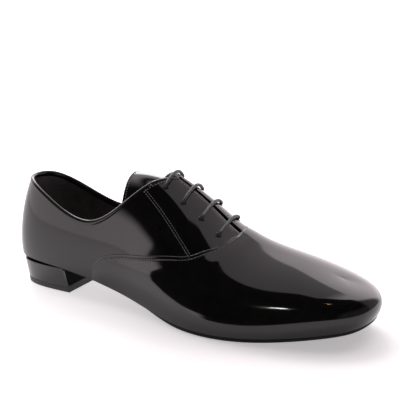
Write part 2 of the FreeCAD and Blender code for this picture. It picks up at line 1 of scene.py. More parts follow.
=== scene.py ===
"""Looks of the black patent lace-up shoe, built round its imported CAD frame.

Lengths are millimetres in the frame's directions until a mesh is made; MM turns them into metres.
The upper follows the same stations as the CAD part: t runs from the heel's back (0) round the
lateral side to the toe's tip (14), s from the sole (0) to the ridge (1), and t below zero is the
medial side. Depth 0 is the outer face and grows towards the foot.
"""
import json
import math

import bpy
import bmesh
import numpy as np
from mathutils import Matrix, Vector

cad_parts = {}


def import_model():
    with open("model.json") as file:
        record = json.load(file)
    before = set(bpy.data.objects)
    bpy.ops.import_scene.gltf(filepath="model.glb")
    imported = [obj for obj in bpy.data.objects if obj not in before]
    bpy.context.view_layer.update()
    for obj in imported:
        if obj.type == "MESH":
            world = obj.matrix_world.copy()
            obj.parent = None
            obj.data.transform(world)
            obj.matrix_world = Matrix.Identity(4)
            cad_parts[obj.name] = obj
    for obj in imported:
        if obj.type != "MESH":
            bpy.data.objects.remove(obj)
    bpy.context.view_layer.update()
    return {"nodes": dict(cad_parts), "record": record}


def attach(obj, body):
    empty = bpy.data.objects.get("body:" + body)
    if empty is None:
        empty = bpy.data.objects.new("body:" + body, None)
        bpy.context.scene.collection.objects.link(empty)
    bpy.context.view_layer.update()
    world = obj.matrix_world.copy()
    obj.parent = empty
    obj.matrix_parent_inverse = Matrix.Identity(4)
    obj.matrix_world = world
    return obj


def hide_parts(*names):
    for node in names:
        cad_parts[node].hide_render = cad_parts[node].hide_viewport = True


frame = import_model()

MM = 0.001
ORIGIN = np.array([149.4, -8.6, 0.0])       # the frame's origin in the stations' own coordinates
STATION_MM = 25.0            # rough length of one step of t on the upper
GIRTH_MM = 85.0              # rough length of s from 0 to 1

VAMP_RISE = (0.2, 0.85, 9.0) # the vamp's height over the quarter at its seam, its gain, and over what length
EDGE_MM = 3.0                # width of the strip along an edge that carries stitches
SEAM_INSET = 1.9             # seam stitches inside the vamp's edge
QUARTER_UNDER = 1.2          # the quarter's skin runs on below the vamp
QUARTER_LOW = 0.6            # and ends below the binding
LINING_IN = 2.6              # depth of the lining's inner face
BINDING_WIDTH = 1.6
BINDING_PROUD = 0.35
FACING_S = 0.975             # where the facings end before the ridge
FACING_SHIFT = (0.105, 0.07) # facing rows in front of the topline's corner and of the seam's foot
FACING_ROWS = (-0.85, 0.85)
PITCH = 2.3                  # stitch pitch
STITCH_LONG = 1.55
STITCH_R = 0.27
DIMPLE_R = 0.42              # reach of the dimple round a stitch
RIM_STITCH = 3.6             # stitches inside the topline beside the eyelets
EDGE_STITCH = ((6.02, 0.943), (7.9, 0.943)) # stitches along the facing's edge

LACE_R = 1.3
LACE_EASE = 2.05             # length over which the lace turns at an eyelet
LACE_OUT = -(LACE_R + 0.6)   # depth of the lace's centre where it crosses outside
LACE_IN = 4.0                # depth of the lace's centre where it runs inside
NEARLY_STRAIGHT = 2.6        # angle in radians above which a corner of the lace isn't rounded

SOLE_HEEL = 3.0              # outsole thickness under the heel seat
SOLE_TREAD = 3.35            # outsole thickness at the ball of the foot
SOLE_GROWS = (90.0, 170.0)   # from the heel's back, where the sole gains that thickness
SOLE_SET_BACK = 3.55         # the sole's edge inside the feather line at heel and waist
SOLE_STANDS_OUT = 0.5        # and outside it at the forepart
SOLE_SWELLS = (110.0, 170.0) # where it goes from one to the other
SOLE_TOP = 0.18              # top of the outsole below the feather line
HEEL_RIM_Z = 20.5            # top of the covered heel
HEEL_COVER = 1.5             # thickness of the covering
HEEL_FRONT_X = 55.7          # heel breast at the rim, from the heel's back
HEEL_FRONT_LEAN = 2.2        # the breast's foot stands forward by this
HEEL_INSET = 1.6             # the heel's rim inside the feather line
HEEL_TAPER = (2.2, 2.7)      # further inset at the floor: all round, and more at the sides
HEEL_ENDS_T = (2.2, 2.9)     # stations over which the outline turns to the breast
TOP_PIECE = 5.0              # height of the rubber under the heel

TONGUE_DEPTH = 5.9
TONGUE_ROOT = 3.25           # depth at the root, under the vamp's lining
TONGUE_DROP = (8.0, 8.33)    # stations over which it goes from one to the other
TONGUE_THICK = 1.2
TONGUE_FREE = 6.0            # station past which the tongue stands free of the facings
TONGUE_BACK = 25.0
TONGUE_RISE = (9.0, -3.5)
TONGUE_TAPER = 0.05
TONGUE_STITCH = 2.6          # stitches inside the tongue's edge

# ridge x, fan angle, half width (lateral, medial), feather height, side bulge, bulge height,
# shoulder half width (lateral, medial), shoulder height, ridge handle, ridge height, tilt, fall
STATIONS = np.array([
    (36, 180, 34.0, 34.0, 25.0, 4.6, 50.0, 33.0, 33.0, 96.0, 14.0, 112.0, 0.00, 0.0),
    (36, 145, 36.0, 36.0, 24.8, 4.3, 50.0, 30.5, 30.5, 96.0, 13.0, 112.0, 0.00, 0.0),
    (38, 112, 34.5, 34.5, 24.0, 3.8, 50.0, 26.5, 26.5, 96.0, 12.0, 112.0, 0.00, 0.0),
    (62, 90, 34.5, 33.5, 21.5, 3.2, 48.0, 26.0, 26.0, 94.0, 12.0, 112.0, 0.00, 0.0),
    (88, 90, 35.0, 31.5, 17.0, 3.0, 44.0, 27.0, 25.0, 90.0, 12.0, 111.0, 0.03, 0.0),
    (114, 90, 38.0, 31.0, 12.0, 3.0, 40.0, 30.0, 25.0, 86.0, 12.5, 108.0, 0.08, 0.0),
    (140, 90, 47.0, 32.0, 7.5, 3.0, 34.0, 35.0, 24.5, 79.0, 14.0, 97.0, 0.15, 0.0),
    (166, 90, 57.0, 35.0, 4.0, 3.0, 28.0, 40.0, 25.0, 65.0, 18.0, 81.0, 0.22, 0.0),
    (190, 90, 61.5, 39.5, 3.5, 3.0, 22.0, 46.0, 30.0, 50.0, 21.0, 60.0, 0.28, 0.0),
    (214, 90, 59.0, 43.0, 3.6, 3.0, 18.5, 50.0, 37.0, 41.0, 23.5, 51.0, 0.22, 0.0),
    (238, 90, 52.0, 42.5, 5.2, 3.0, 16.5, 50.0, 41.5, 36.0, 25.0, 47.5, 0.15, 0.0),
    (256, 78, 43.0, 38.5, 9.0, 3.0, 17.0, 47.0, 43.0, 33.5, 27.0, 42.5, 0.08, 0.3),
    (266, 52, 35.0, 33.0, 12.0, 3.0, 18.5, 41.5, 40.0, 31.0, 25.0, 39.0, 0.03, 0.3),
    (268, 25, 28.5, 28.5, 14.5, 3.0, 20.0, 33.5, 33.5, 30.0, 22.0, 38.0, 0.00, 0.3),
    (268, 0, 27.0, 27.0, 15.0, 3.0, 20.5, 31.5, 31.5, 30.0, 21.0, 38.0, 0.00, 0.3),
])
TIP = len(STATIONS) - 1
TOPLINE = [(0.0, 0.515), (0.8, 0.51), (1.6, 0.48), (2.2, 0.43), (2.7, 0.375), (3.1, 0.345),
           (3.65, 0.345), (4.15, 0.40), (4.55, 0.48), (4.85, 0.56), (5.16, 0.66),
           (5.42, 0.76), (5.77, 0.90), (5.95, 0.975)]
SEAM = [(3.83, 0.0), (3.87, 0.07), (4.14, 0.16), (4.57, 0.21), (5.2, 0.255), (5.91, 0.31),
        (6.6, 0.385), (7.16, 0.47), (7.51, 0.58), (7.77, 0.69), (7.91, 0.81), (7.99, 0.90),
        (8.05, 1.0)]
SEAM_RISE = 2                # places in SEAM and TOPLINE where areas meet
SEAM_STITCH = 7
TOPLINE_LOW = 6
TOPLINE_CORNER = 10
EYELETS = [(5.83, 0.77), (6.45, 0.76), (7.06, 0.77), (7.64, 0.78)]
TONGUE_SIDE = [(8.35, 0.74), (7.6, 0.67), (6.5, 0.62), (5.5, 0.575), (5.0, 0.56), (4.5, 0.555)]
TONGUE_TOP = [(4.5, 0.555), (4.47, 0.72), (4.54, 1.0)]


# ---- the skin ---------------------------------------------------------------------------------
def girth_rows(side):
    gx, fan, w_l, w_m, zf, bulge, z1, y2_l, y2_m, z2, y3, gz, tilt, fall = STATIONS.T
    w = (w_l, w_m)[side]
    y2 = (y2_l, y2_m)[side]
    c = np.cos(np.radians(fan))
    sn = np.sin(np.radians(fan))
    lean = (-tilt, tilt)[side] * y3 - fall * y3 * c
    rows = np.zeros((len(STATIONS), 5, 3))
    for k, (r, z) in enumerate([(w, zf), (w + bulge, z1), (y2, z2), (y3, gz + lean), (0 * w, gz)]):
        rows[:, k] = np.stack([gx + r * c, -r * sn, z], -1)
    mirror = np.array([1, -1, 1])
    return np.concatenate([rows[1:2] * mirror, rows, rows[-2:-1] * mirror])


ROWS = np.stack([girth_rows(0), girth_rows(1)])


def frame_at(t, s):
    """Points and outward normals of the skin."""
    t, s = np.broadcast_arrays(np.asarray(t, float), np.asarray(s, float))
    side = (t < 0).astype(int)
    a = np.minimum(np.abs(t), TIP - 1e-9)
    i = np.floor(a).astype(int)
    f = a - i
    blend = [(1 - f) ** 3 / 6, (3 * f ** 3 - 6 * f ** 2 + 4) / 6,
             (-3 * f ** 3 + 3 * f ** 2 + 3 * f + 1) / 6, f ** 3 / 6]
    slope = [-(1 - f) ** 2 / 2, (3 * f ** 2 - 4 * f) / 2, (-3 * f ** 2 + 2 * f + 1) / 2, f ** 2 / 2]
    line = sum(blend[n][..., None, None] * ROWS[side, i + n] for n in range(4))
    drift = sum(slope[n][..., None, None] * ROWS[side, i + n] for n in range(4))
    bern = [math.comb(4, k) * s ** k * (1 - s) ** (4 - k) for k in range(5)]
    low = [math.comb(3, k) * s ** k * (1 - s) ** (3 - k) for k in range(4)]
    point = sum(bern[k][..., None] * line[..., k, :] for k in range(5))
    along = sum(bern[k][..., None] * drift[..., k, :] for k in range(5))
    up = sum(4 * low[k][..., None] * (line[..., k + 1, :] - line[..., k, :]) for k in range(4))
    normal = np.cross(along, up)
    flat = np.linalg.norm(along, axis=-1) < 0.4
    flip_y = np.where(side, -1.0, 1.0)
    if flat.any() and not flat.all() or (flat.any() and np.min(s) > 0.05):
        nudged = frame_at(t[flat], s[flat] - 0.03)[1]
        nudged[:, 1] *= flip_y[flat]
        normal[flat] = nudged
    normal = normal / np.linalg.norm(normal, axis=-1, keepdims=True)
    point[..., 1] *= flip_y
    normal[..., 1] *= flip_y
    return point, normal


def skin(t, s, depth=0.0):
    point, normal = frame_at(t, s)
    t, s = np.broadcast_arrays(np.asarray(t, float), np.asarray(s, float))
    ridge = s > 1 - 1e-9
    if ridge.any():
        other = frame_at(-t[ridge], s[ridge])[1]
        both = normal[ridge] + other
        normal[ridge] = both / np.linalg.norm(both, axis=-1, keepdims=True)
    return point - normal * np.asarray(depth, float)[..., None]


def eased(x, start, stop):
    """Smooth step from 0 at start to 1 at stop."""
    f = np.clip((x - start) / (stop - start), 0, 1)
    return f * f * (3 - 2 * f)


def tongue_skin(t, s, extra):
    """The tongue hangs from the vamp lining, clears the lace and stands free past the facings."""
    t, s = np.broadcast_arrays(np.asarray(t, float), np.asarray(s, float))
    front = eased(np.abs(t), *TONGUE_DROP)
    depth = TONGUE_DEPTH - (TONGUE_DEPTH - TONGUE_ROOT) * front + extra
    passed = np.clip(TONGUE_FREE - np.abs(t), 0, None)
    base = np.where(t < 0, -1, 1) * np.maximum(np.abs(t), TONGUE_FREE)
    root = skin(base, s, depth)
    rise = TONGUE_RISE[0] * passed + TONGUE_RISE[1] * passed * passed
    narrower = -TONGUE_TAPER * passed * passed * root[..., 1]
    return root + np.stack([-TONGUE_BACK * passed, narrower, rise], -1)


# ---- lines and areas on the skin --------------------------------------------------------------
def run_of(points):
    """Length along a run of points, at each point."""
    return np.concatenate([[0], np.cumsum(np.linalg.norm(np.diff(points, axis=0), axis=1))])


class Spline:
    """Natural cubic spline through points, measured by length; scale turns steps into millimetres."""

    def __init__(self, points, scale=1.0):
        self.p = p = np.array(points, float)
        self.knots = run_of(p * scale)
        n = len(p)
        h = np.diff(self.knots)
        system = np.eye(n)
        rhs = np.zeros(p.shape)
        for i in range(1, n - 1):
            system[i, i - 1:i + 2] = [h[i - 1], 2 * (h[i - 1] + h[i]), h[i]]
            rhs[i] = 6 * ((p[i + 1] - p[i]) / h[i] - (p[i] - p[i - 1]) / h[i - 1])
        self.bend = np.linalg.solve(system, rhs)

    def at(self, length):
        length = np.clip(length, 0, self.knots[-1])
        i = np.clip(np.searchsorted(self.knots, length) - 1, 0, len(self.knots) - 2)
        h = self.knots[i + 1] - self.knots[i]
        b = ((length - self.knots[i]) / h)[..., None]
        a = 1 - b
        out = a * self.p[i] + b * self.p[i + 1]
        curve = (a ** 3 - a) * self.bend[i] + (b ** 3 - b) * self.bend[i + 1]
        return out + curve * (h * h / 6)[..., None]


class Line(Spline):
    """Spline through (t, s) points on the skin."""

    def __init__(self, points):
        super().__init__(points, [STATION_MM, GIRTH_MM])

    def stretch(self, i, j, inset=0.0):
        """Map 0..1 to the stretch from point i to point j, moved to its right by inset."""
        def where(u):
            u = np.asarray(u, float)
            length = self.knots[i] + (self.knots[j] - self.knots[i]) * u
            here = self.at(length)
            step = (self.at(length + 0.5) - self.at(length - 0.5)) * [STATION_MM, GIRTH_MM]
            step[..., 1] = np.where(np.abs(here[..., 0]) < 1e-9, 0, step[..., 1])
            size = np.hypot(step[..., 0], step[..., 1])
            side = np.stack([step[..., 1] / STATION_MM, -step[..., 0] / GIRTH_MM], -1)
            return here + inset * side / size[..., None]
        return where


def straight(a, b):
    a = np.array(a, float)
    b = np.array(b, float)
    return lambda u: a + (b - a) * np.asarray(u, float)[..., None]


def area(bottom, top, u, v, left=None, right=None):
    """Grid of (t, s) over an area bounded by two long lines and two ends."""
    c00, c10, c01, c11 = bottom(0.0), bottom(1.0), top(0.0), top(1.0)
    left = left or straight(c00, c01)
    right = right or straight(c10, c11)
    uu = u[:, None, None]
    vv = v[None, :, None]
    long_lines = (1 - vv) * bottom(u)[:, None] + vv * top(u)[:, None]
    short_lines = (1 - uu) * left(v)[None] + uu * right(v)[None]
    corners = (1 - uu) * ((1 - vv) * c00 + vv * c01) + uu * ((1 - vv) * c10 + vv * c11)
    return long_lines + short_lines - corners


# ---- meshes -------------------------------------------------------------------------------------
class Mesh:
    """Collects grids of points, then makes one object from them."""

    def __init__(self):
        self.points = []
        self.faces = []
        self.uv = []
        self.count = 0

    def grid(self, points, flip=False, uv=None, wrap=False):
        nu, nv = points.shape[:2]
        index = np.arange(nu * nv).reshape(nu, nv) + self.count
        self.points.append(points.reshape(-1, 3))
        self.uv.append((uv if uv is not None else np.zeros((nu, nv, 2))).reshape(-1, 2))
        self.count += nu * nv
        if wrap:
            index = np.concatenate([index, index[:, :1]], 1)
        quads = np.stack([index[:-1, :-1], index[1:, :-1], index[1:, 1:], index[:-1, 1:]], -1)
        quads = quads.reshape(-1, 4)
        self.faces.append(quads[:, ::-1] if flip else quads)

    def make(self, name, body, look, replaces=(), merge=0.004, smooth_angle=None):
        points = (np.concatenate(self.points) - ORIGIN) * MM
        faces = np.concatenate(self.faces)
        mesh = bpy.data.meshes.new(name)
        mesh.from_pydata(points.tolist(), [], faces.tolist())
        layer = mesh.uv_layers.new(name="UVMap")
        uv = np.concatenate(self.uv)[faces.ravel()]
        layer.data.foreach_set("uv", uv.ravel())
        if merge:
            edit = bmesh.new()
            edit.from_mesh(mesh)
            bmesh.ops.remove_doubles(edit, verts=edit.verts, dist=merge * MM)
            edit.to_mesh(mesh)
            edit.free()
        mesh.shade_smooth()
        if smooth_angle:
            mesh.set_sharp_from_angle(angle=math.radians(smooth_angle))
        obj = bpy.data.objects.new(name, mesh)
        bpy.context.scene.collection.objects.link(obj)
        obj.data.materials.append(MATERIALS[look])
        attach(obj, body)
        for node in replaces:
            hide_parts(node)
        return obj


# ---- materials ------------------------------------------------------------------------------------
class Tree:
    """Short hand for building a node tree."""

    def __init__(self, tree):
        self.tree = tree

    def add(self, kind, **settings):
        node = self.tree.nodes.new(kind)
        for key, value in settings.items():
            setattr(node, key, value)
        return node

    def link(self, source, target):
        self.tree.links.new(source, target)

    def split(self, vector):
        node = self.add("ShaderNodeSeparateXYZ")
        self.link(vector, node.inputs["Vector"])
        return [node.outputs[axis] for axis in "XYZ"]

    def fade(self, source, start, stop, low=0.0, high=1.0):
        """Smooth step from low at start to high at stop."""
        node = self.add("ShaderNodeMapRange", interpolation_type="SMOOTHSTEP")
        for socket, value in (("From Min", start), ("From Max", stop), ("To Min", low), ("To Max", high)):
            node.inputs[socket].default_value = value
        self.link(source, node.inputs["Value"])
        return node.outputs["Result"]

    def math(self, operation, a, b=None, c=None):
        node = self.add("ShaderNodeMath", operation=operation)
        for socket, value in zip(node.inputs, (a, b, c)):
            if value is None:
                continue
            if isinstance(value, (int, float)):
                socket.default_value = value
            else:
                self.link(value, socket)
        return node.outputs[0]


class Nodes(Tree):
    """Nodes of a new material round its main shader."""

    def __init__(self, name):
        self.material = bpy.data.materials.new(name)
        self.material.use_nodes = True
        super().__init__(self.material.node_tree)
        self.shader = self.tree.nodes["Principled BSDF"]
        texture = self.add("ShaderNodeTexCoord")
        self.coords = texture.outputs["Object"]
        self.uv = texture.outputs["UV"]

    def put(self, **values):
        for key, value in values.items():
            self.shader.inputs[key.replace("_", " ")].default_value = value

    def noise(self, scale, detail=3.0, rough=0.5, coords=None, distortion=0.0):
        node = self.add("ShaderNodeTexNoise")
        node.inputs["Scale"].default_value = scale
        node.inputs["Detail"].default_value = detail
        node.inputs["Roughness"].default_value = rough
        node.inputs["Distortion"].default_value = distortion
        self.link(coords or self.coords, node.inputs["Vector"])
        return node.outputs["Fac"]

    def ramp(self, source, low, high, at=(0.35, 0.65)):
        node = self.add("ShaderNodeValToRGB")
        node.color_ramp.elements[0].position = at[0]
        node.color_ramp.elements[1].position = at[1]
        node.color_ramp.elements[0].color = low
        node.color_ramp.elements[1].color = high
        self.link(source, node.inputs["Fac"])
        return node.outputs["Color"]

    def bump(self, height, distance, strength=1.0, before=None):
        node = self.add("ShaderNodeBump")
        node.inputs["Strength"].default_value = strength
        node.inputs["Distance"].default_value = distance
        self.link(height, node.inputs["Height"])
        if before:
            self.link(before, node.inputs["Normal"])
        return node.outputs["Normal"]


def grey(value, warm=0.0):
    """A grey, or one that leans to red by the share warm."""
    return (value * (1 + warm), value, value * (1 - warm), 1.0)


def patent(name, base=0.004, rough=0.05, wave=0.00006, wave_scale=26.0):
    """Black leather under a clear lacquer: deep gloss, long soft waves, a trace of pores."""
    n = Nodes(name)
    haze = n.noise(140.0, 4.0, 0.6)
    n.link(n.ramp(haze, grey(base, 0.02), grey(base * 1.5, 0.04)), n.shader.inputs["Base Color"])
    cloud = n.noise(18.0, 3.0, 0.6)
    n.link(n.math("MULTIPLY_ADD", cloud, 0.05, rough), n.shader.inputs["Roughness"])
    waves = n.bump(n.noise(wave_scale, 2.0, 0.45, distortion=0.3), wave)
    pores = n.bump(n.noise(1400.0, 2.0, 0.5), 0.0000015, before=waves)
    n.link(pores, n.shader.inputs["Normal"])
    n.put(IOR=1.5, Specular_IOR_Level=0.5)
    return n.material


def leather(name, colour, rough=0.5, grain=0.00012, scale=420.0, warm=0.03, shine=0.5):
    """Grained leather: fine cells, and a mottle in colour and gloss."""
    n = Nodes(name)
    n.put(Specular_IOR_Level=shine)
    cells = n.add("ShaderNodeTexVoronoi", feature="DISTANCE_TO_EDGE")
    cells.inputs["Scale"].default_value = scale
    n.link(n.coords, cells.inputs["Vector"])
    mottle = n.noise(60.0, 5.0, 0.6)
    low = grey(colour * 0.75, warm)
    high = grey(colour * 1.25, warm)
    n.link(n.ramp(mottle, low, high), n.shader.inputs["Base Color"])
    fine = n.bump(cells.outputs["Distance"], grain, 0.6)
    n.link(n.bump(mottle, grain * 2, 0.4, before=fine), n.shader.inputs["Normal"])
    n.link(n.math("MULTIPLY_ADD", mottle, 0.15, rough - 0.07), n.shader.inputs["Roughness"])
    return n.material


def plain(name, colour, rough, metallic=0.0, grain=0.00004, scale=900.0, warm=0.0,
          stretch=(1, 1, 1), shine=0.5):
    """Fine-grained solid: rubber, plastic, metal, board."""
    n = Nodes(name)
    mapping = n.add("ShaderNodeMapping")
    mapping.inputs["Scale"].default_value = stretch
    n.link(n.coords, mapping.inputs["Vector"])
    fine = n.noise(scale, 4.0, 0.6, coords=mapping.outputs["Vector"])
    broad = n.noise(scale * 0.05, 3.0, 0.5)
    low = grey(colour * 0.8, warm)
    high = grey(colour * 1.2, warm)
    n.link(n.ramp(broad, low, high), n.shader.inputs["Base Color"])
    n.link(n.math("MULTIPLY_ADD", fine, 0.2, rough - 0.1), n.shader.inputs["Roughness"])
    n.link(n.bump(fine, grain), n.shader.inputs["Normal"])
    n.put(Metallic=metallic, Specular_IOR_Level=shine)
    return n.material


def braided(name, colour, rough, strand=0.0011, share=0.125, depth=0.00022):
    """Braid over UV: u runs along in metres, v once round; a strand is that long and that share round."""
    n = Nodes(name)
    u, v, _ = n.split(n.uv)
    along = n.math("MULTIPLY", u, 2 * math.pi / strand)
    around = n.math("MULTIPLY", v, 2 * math.pi / share)
    one = n.math("SINE", n.math("ADD", along, around))
    two = n.math("SINE", n.math("SUBTRACT", along, around))
    braid = n.math("MULTIPLY_ADD", n.math("MAXIMUM", one, two), 0.5, 0.5)
    fuzz = n.noise(2600.0, 3.0, 0.7)
    # painted shade: the cord's colour is darkened in the grooves between strands and lightened on their
    # crowns, following the braid's height
    painted_groove_shade = n.ramp(braid, grey(colour * 0.45), grey(colour * 1.3), at=(0.45, 0.95))
    n.link(painted_groove_shade, n.shader.inputs["Base Color"])
    n.link(n.bump(fuzz, depth * 0.15, before=n.bump(braid, depth)), n.shader.inputs["Normal"])
    n.put(Roughness=rough, Sheen_Weight=0.05, Sheen_Roughness=0.5)
    return n.material


MATERIALS = {
    "patent_leather": patent("patent_leather"),
    "binding_leather": patent("binding_leather", base=0.006, rough=0.12, wave=0.00002, wave_scale=90.0),
    "lining_leather": leather("lining_leather", 0.10, rough=0.55),
    "pad_leather": leather("pad_leather", 0.12, rough=0.6),
    "stiffener_board": plain("stiffener_board", 0.55, 0.8, warm=0.12),
    "stay_fabric": plain("stay_fabric", 0.7, 0.9, warm=0.05, grain=0.0001),
    "sole_leather": leather("sole_leather", 0.006, rough=0.6, grain=0.00005, scale=260.0, shine=0.2),
    "insole_board": plain("insole_board", 0.45, 0.85, warm=0.2),
    "cork": plain("cork", 0.4, 0.9, warm=0.35, grain=0.0002, scale=500.0),
    "spring_steel": plain("spring_steel", 0.4, 0.3, metallic=1.0, stretch=(0.05, 1, 1)),
    "nail_steel": plain("nail_steel", 0.55, 0.35, metallic=1.0),
    "heel_plastic": plain("heel_plastic", 0.006, 0.85, grain=0.00003, shine=0.06),
    "rubber": plain("rubber", 0.012, 0.55, grain=0.00008, scale=700.0),
    "lace_cord": braided("lace_cord", 0.014, 0.4),
    "aglet_plastic": plain("aglet_plastic", 0.01, 0.2, grain=0.000005),
    "eyelet_metal": plain("eyelet_metal", 0.06, 0.22, metallic=1.0, grain=0.00001),
}


def thread_material():
    """Waxed thread: a twist along each stitch, in a grey lighter than the leather that is partly the
    thread's own dark grey and partly painted highlight for the glints on the wax.
    """
    n = Nodes("thread")
    twist = n.noise(1800.0, 2.0, 0.5)
    # painted highlight: the grey is raised above the thread's own dark tone to stand in for glints on the
    # waxed thread
    n.link(n.ramp(twist, grey(0.09), grey(0.22)), n.shader.inputs["Base Color"])
    n.link(n.bump(twist, 0.00005), n.shader.inputs["Normal"])
    n.put(Roughness=0.35)
    return n.material


MATERIALS["thread"] = thread_material()
for part in frame["record"]["subparts"]:
    node = frame["nodes"][part["node"]]
    node.data.materials.clear()
    node.data.materials.append(MATERIALS[part["material_slot"]])


def steps(count):
    return np.linspace(0, 1, count + 1)


# ---- vamp -----------------------------------------------------------------------------------------
def vamp_depth(gap):
    """The vamp rises off the quarter under it over its first few millimetres."""
    start, gain, length = VAMP_RISE
    return -(start + gain * eased(gap, 0.0, length))


def seam_gap(t, s):
    """Distance from the vamp's seam, in millimetres."""
    scale = np.array([STATION_MM, GIRTH_MM])
    line = Line(SEAM)
    stops = line.at(np.linspace(0, line.knots[-1], 90)) * scale
    p = np.stack([np.abs(t), s], -1) * scale
    gap = np.full(t.shape, 1e3)
    for a, b in zip(stops[:-1], stops[1:]):
        k = np.clip(((p - a) @ (b - a)) / ((b - a) @ (b - a)), 0, 1)
        gap = np.minimum(gap, np.linalg.norm(p - a - k[..., None] * (b - a), axis=-1))
    return gap


def pucker(length, offset, deep):
    """The thread pulls the leather down into a line of dimples."""
    dimple = 0.55 + 0.45 * np.cos(2 * math.pi * length / PITCH)
    return deep * np.exp(-(offset / DIMPLE_R) ** 2) * dimple


def vamp():
    """Both wings and the forepart, with a turned hem along the seam."""
    mesh = Mesh()
    seam = Line(SEAM)
    u = steps(150)
    v = steps(50)
    last = SEAM[-1][0]
    end = len(SEAM) - 1
    throat = np.array([last, 1.0])

    def whole(inset):
        """The seam line moved in, brought to the sole at one end and to the ridge at the other."""
        line = seam.stretch(0, end, inset)

        def where(x):
            x = np.asarray(x, float)
            out = line(x)
            out[..., 1] -= line(0.0)[1] * (1 - x) ** 12
            return out + (throat - line(1.0)) * (x ** 12)[..., None]
        return where

    inner = whole(EDGE_MM)
    turn = seam.knots[SEAM_RISE] / seam.knots[-1]

    def rise(x):
        return inner(turn * np.asarray(x, float))

    def top(x):
        return inner(turn + (1 - turn) * np.asarray(x, float))

    sole_side = straight(inner(0.0), (last, 0.0))
    girth = straight((last, 0.0), (last, 1.0))
    wing = area(sole_side, top, u, v, rise, girth)
    feather = straight((last, 0.0), (TIP, 0.0))
    ridge = straight((last, 1.0), (TIP, 1.0))
    fore = area(feather, ridge, steps(170), v)
    along = np.linspace(0, 1, 720)
    flat = [(inset, 0) for inset in (2.6, 2.3, 2.1, 1.9, 1.7, 1.5, 1.2, 0.8, 0.5)]
    hem = [(EDGE_MM + 0.3, 0.04)] + flat + [(0.3, 0.05), (0.12, 0.17), (0.0, 0.36), (0.0, 1.1)]
    for sign in (1, -1):
        for grid in (wing, fore):
            t, s = grid[..., 0], grid[..., 1]
            mesh.grid(skin(sign * t, s, vamp_depth(seam_gap(t, s))), flip=sign < 0)
        rows = []
        length = None
        for inset, drop in hem:
            line = whole(inset)(along)
            gap = np.minimum(seam_gap(line[:, 0], line[:, 1]), inset)
            base = skin(sign * line[:, 0], line[:, 1])
            length = run_of(base) if length is None else length
            depth = vamp_depth(gap) + drop + pucker(length, inset - SEAM_INSET, 0.2)
            rows.append(skin(sign * line[:, 0], line[:, 1], depth))
        mesh.grid(np.stack(rows), flip=sign < 0)
    return mesh.make("vamp_skin", "shoe", "patent_leather", ["vamp"])


# ---- quarters -------------------------------------------------------------------------------------
def quarter_lines():
    """Bottom, top and side lines of a quarter's three areas; the seam side runs on below the vamp."""
    seam = Line(SEAM)
    topline = Line(TOPLINE)
    low = seam.stretch(0, SEAM_STITCH, QUARTER_UNDER)
    throat = seam.stretch(SEAM_STITCH, len(SEAM) - 2, QUARTER_UNDER)
    heel_top = topline.stretch(0, TOPLINE_LOW, QUARTER_LOW)
    side_top = topline.stretch(TOPLINE_LOW, TOPLINE_CORNER, QUARTER_LOW)
    facing_top = topline.stretch(TOPLINE_CORNER, len(TOPLINE) - 1, QUARTER_LOW)
    return low, throat, heel_top, side_top, facing_top


def quarter(sign, name):
    """Heel, waist and facing areas, and the facing's cut edge."""
    mesh = Mesh()
    low, throat, heel_top, side_top, facing_top = quarter_lines()

    def ended(line):
        """Bring a line's far end to the facing edge."""
        def where(x):
            out = line(x)
            out[..., 1] += (FACING_S - line(1.0)[1]) * np.asarray(x) ** 2
            return out
        return where

    def on_sole(x):
        out = low(x)
        out[..., 1] = np.maximum(out[..., 1] - low(0.0)[1] * (1 - np.asarray(x)) ** 4, 0)
        return out

    foot = on_sole(np.array(0.0))
    heel = area(straight((0.0, 0.0), foot), heel_top, steps(110), steps(56))
    waist = area(on_sole, side_top, steps(120), steps(56))
    front = area(ended(throat), ended(facing_top), steps(70), steps(56))
    for grid in (heel, waist, front):
        mesh.grid(skin(sign * grid[..., 0], grid[..., 1]), flip=sign < 0)
    edge = front[-1]
    rows = []
    for inset, depth in [(0.0, 0.0), (0.0035, 0.08), (0.006, 0.3), (0.008, 0.8), (0.008, 2.6)]:
        rows.append(skin(sign * edge[:, 0], edge[:, 1] + inset, depth))
    mesh.grid(np.stack(rows), flip=sign < 0)
    return mesh.make("quarter_skin_" + name, "shoe", "patent_leather", ["quarter_" + name])


# ---- topline binding ------------------------------------------------------------------------------
def binding():
    """A rolled edge: over the rim from the outer face to the lining."""
    mesh = Mesh()
    topline = Line(TOPLINE)
    u = steps(220)
    half = (LINING_IN + 2 * BINDING_PROUD) / 2
    middle = half - BINDING_PROUD
    profile = [(BINDING_WIDTH + 1.0, -0.12), (BINDING_WIDTH + 0.6, -0.30)]
    facets = 12
    for k in range(facets + 1):
        a = math.pi * k / facets
        inset = BINDING_WIDTH * (1 - math.sin(a)) if 0 < k < facets else BINDING_WIDTH
        profile.append((inset, middle - half * math.cos(a)))
    profile += [(BINDING_WIDTH + 1.2, LINING_IN + BINDING_PROUD), (BINDING_WIDTH + 1.6, LINING_IN)]
    for sign in (1, -1):
        rows = []
        for inset, depth in profile:
            line = topline.stretch(0, len(TOPLINE) - 1, inset)(u)
            rows.append(skin(sign * line[:, 0], line[:, 1], depth))
        mesh.grid(np.stack(rows), flip=sign < 0)
        end = np.stack([row[-1] for row in rows])
        centre = end.mean(0, keepdims=True)
        mesh.grid(np.stack([end, np.repeat(centre, len(end), 0)]), flip=sign < 0)
    return mesh.make("binding_roll", "shoe", "binding_leather", ["topline_binding"])


